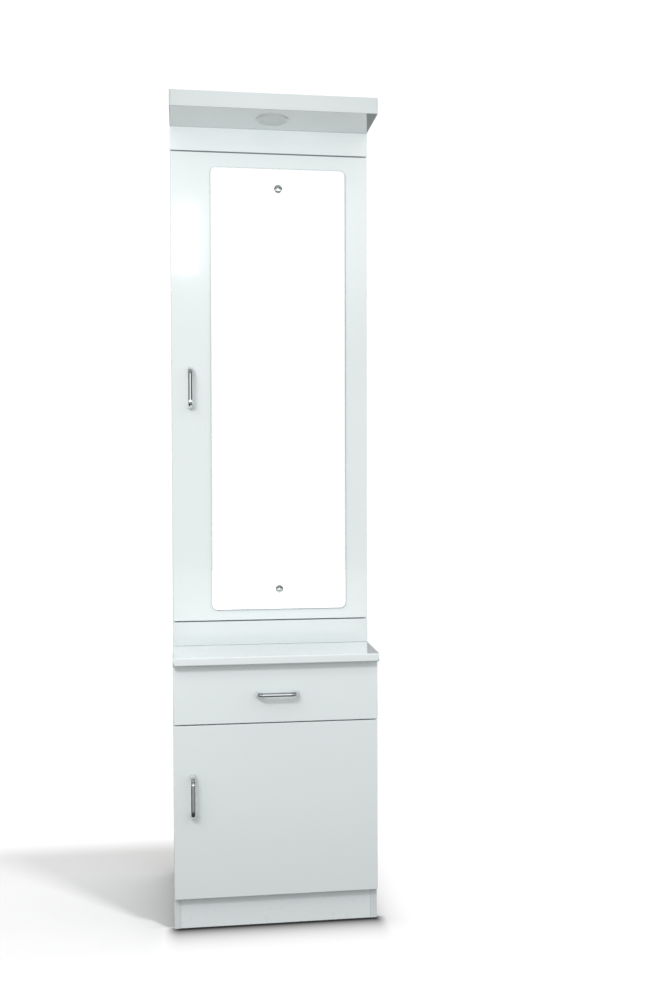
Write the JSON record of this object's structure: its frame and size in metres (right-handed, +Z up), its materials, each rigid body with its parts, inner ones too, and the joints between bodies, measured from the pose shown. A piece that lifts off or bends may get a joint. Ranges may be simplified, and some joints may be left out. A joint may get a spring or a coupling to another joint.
{
  "type": "mirrored dressing cabinet",
  "caption": "Tall free-standing dressing cabinet: deep base with drawer and door, slimmer upper cabinet with a long mirror door, and an overhanging canopy with a recessed downlight.",
  "frame": {"origin": "on the floor, in the middle of the outline of the whole cabinet with its handles", "axes": "+Z up, +X to the right and +Y to the back, seen from the front"},
  "size_m": [0.5, 0.435, 2.018],
  "materials": {
    "panel_white": "smooth white melamine on board",
    "front_white": "high-gloss white foil on board",
    "band_white": "gloss white edge band",
    "back_white": "thin white fibreboard",
    "beech": "raw beech",
    "bare_board": "sanded softwood block",
    "chrome": "polished chrome",
    "steel": "nickel-plated steel",
    "runner": "white powder coat",
    "roller": "white nylon",
    "mirror": "silvered float glass with polished edges",
    "lens": "frosted",
    "capsule": "clear",
    "bezel": "white enamel",
    "can": "spun aluminium",
    "driver": "white moulded case",
    "black_rubber": "matte",
    "glide": "hard nylon",
    "bumper": "clear soft plastic"
  },
  "bodies": {
    "cabinet": {"lower_side_left": "panel_white", "lower_side_right": "panel_white", "lower_bottom_board": "panel_white", "plinth": "panel_white", "worktop": "front_white", "worktop_rails": "panel_white", "drawer_divider": "panel_white", "lower_back_panel": "back_white", "lower_shelf": "panel_white", "floor_glides": "glide", "upper_side_left": "panel_white", "upper_side_right": "panel_white", "upper_bottom_board": "panel_white", "upper_top_board": "panel_white", "upper_back_panel": "back_white", "base_panel": "front_white", "frieze_panel": "front_white", "corner_blocks": "bare_board", "upper_shelves": "panel_white", "shelf_pins": "steel", "dowels": "beech", "cam_fittings": "steel", "canopy_top_board": "panel_white", "canopy_light_board": "front_white", "canopy_edge_band": "band_white", "lamp_bezel": "bezel", "lamp_lens": "lens", "lamp_can": "can", "lamp_capsule": "capsule", "lamp_driver": "driver", "lamp_lead": "black_rubber", "mains_gland": "black_rubber", "block_screws": "steel", "runner_channels": "runner", "runner_screws": "steel", "hinge_plates": "steel", "hinge_arms": "steel", "door_bumpers": "bumper"},
    "front_rollers": {"front_rollers": "roller"},
    "drawer": {"drawer_front": "front_white", "drawer_sides": "panel_white", "drawer_ends": "panel_white", "drawer_bottom": "back_white", "drawer_profiles": "runner", "drawer_handle": "chrome", "drawer_screws": "steel"},
    "rear_rollers": {"rear_rollers": "roller"},
    "upper_links": {"upper_hinge_links": "steel"},
    "mirror_door": {"mirror_door": "front_white", "mirror_glass": "mirror", "mirror_screws": "steel", "mirror_caps": "chrome", "upper_handle": "chrome", "upper_handle_screws": "steel", "upper_hinge_cups": "steel"},
    "lower_links": {"lower_hinge_links": "steel"},
    "lower_door": {"lower_door": "front_white", "lower_handle": "chrome", "lower_handle_screws": "steel", "lower_hinge_cups": "steel"}
  },
  "joints": [
    {"name": "drawer_slide", "type": "slide", "parent": "cabinet", "child": "drawer", "axis": [0, -1, 0], "range_m": [0, 0.27]},
    {"name": "front_roller_spin", "type": "hinge", "parent": "cabinet", "child": "front_rollers", "pos_m": [0, -0.1585, 0.525], "axis": [1, 0, 0], "range_deg": [0, 1630]},
    {"name": "rear_roller_spin", "type": "hinge", "parent": "drawer", "child": "rear_rollers", "pos_m": [0, 0.1635, 0.525], "axis": [1, 0, 0], "range_deg": [0, 1630]},
    {"name": "upper_link_pivot", "type": "hinge", "parent": "cabinet", "child": "upper_links", "pos_m": [0.208, -0.0118, 1.327], "axis": [0, 0, 1], "range_deg": [-33.7, 0]},
    {"name": "mirror_door_pivot", "type": "hinge", "parent": "upper_links", "child": "mirror_door", "pos_m": [0.2359, -0.0187, 1.327], "axis": [0, 0, 1], "range_deg": [0, 128]},
    {"name": "lower_link_pivot", "type": "hinge", "parent": "cabinet", "child": "lower_links", "pos_m": [0.208, -0.1698, 0.29225], "axis": [0, 0, 1], "range_deg": [-33.7, 0]},
    {"name": "lower_door_pivot", "type": "hinge", "parent": "lower_links", "child": "lower_door", "pos_m": [0.2359, -0.1767, 0.29225], "axis": [0, 0, 1], "range_deg": [0, 128]}
  ],
  "couplings": [
    {"joint": "front_roller_spin", "follows": "drawer_slide", "rad_per_m": 105.26},
    {"joint": "rear_roller_spin", "follows": "drawer_slide", "rad_per_m": 105.26},
    {"joint": "upper_link_pivot", "follows": "mirror_door_pivot", "ratio": -0.2625},
    {"joint": "lower_link_pivot", "follows": "lower_door_pivot", "ratio": -0.2625}
  ]
}
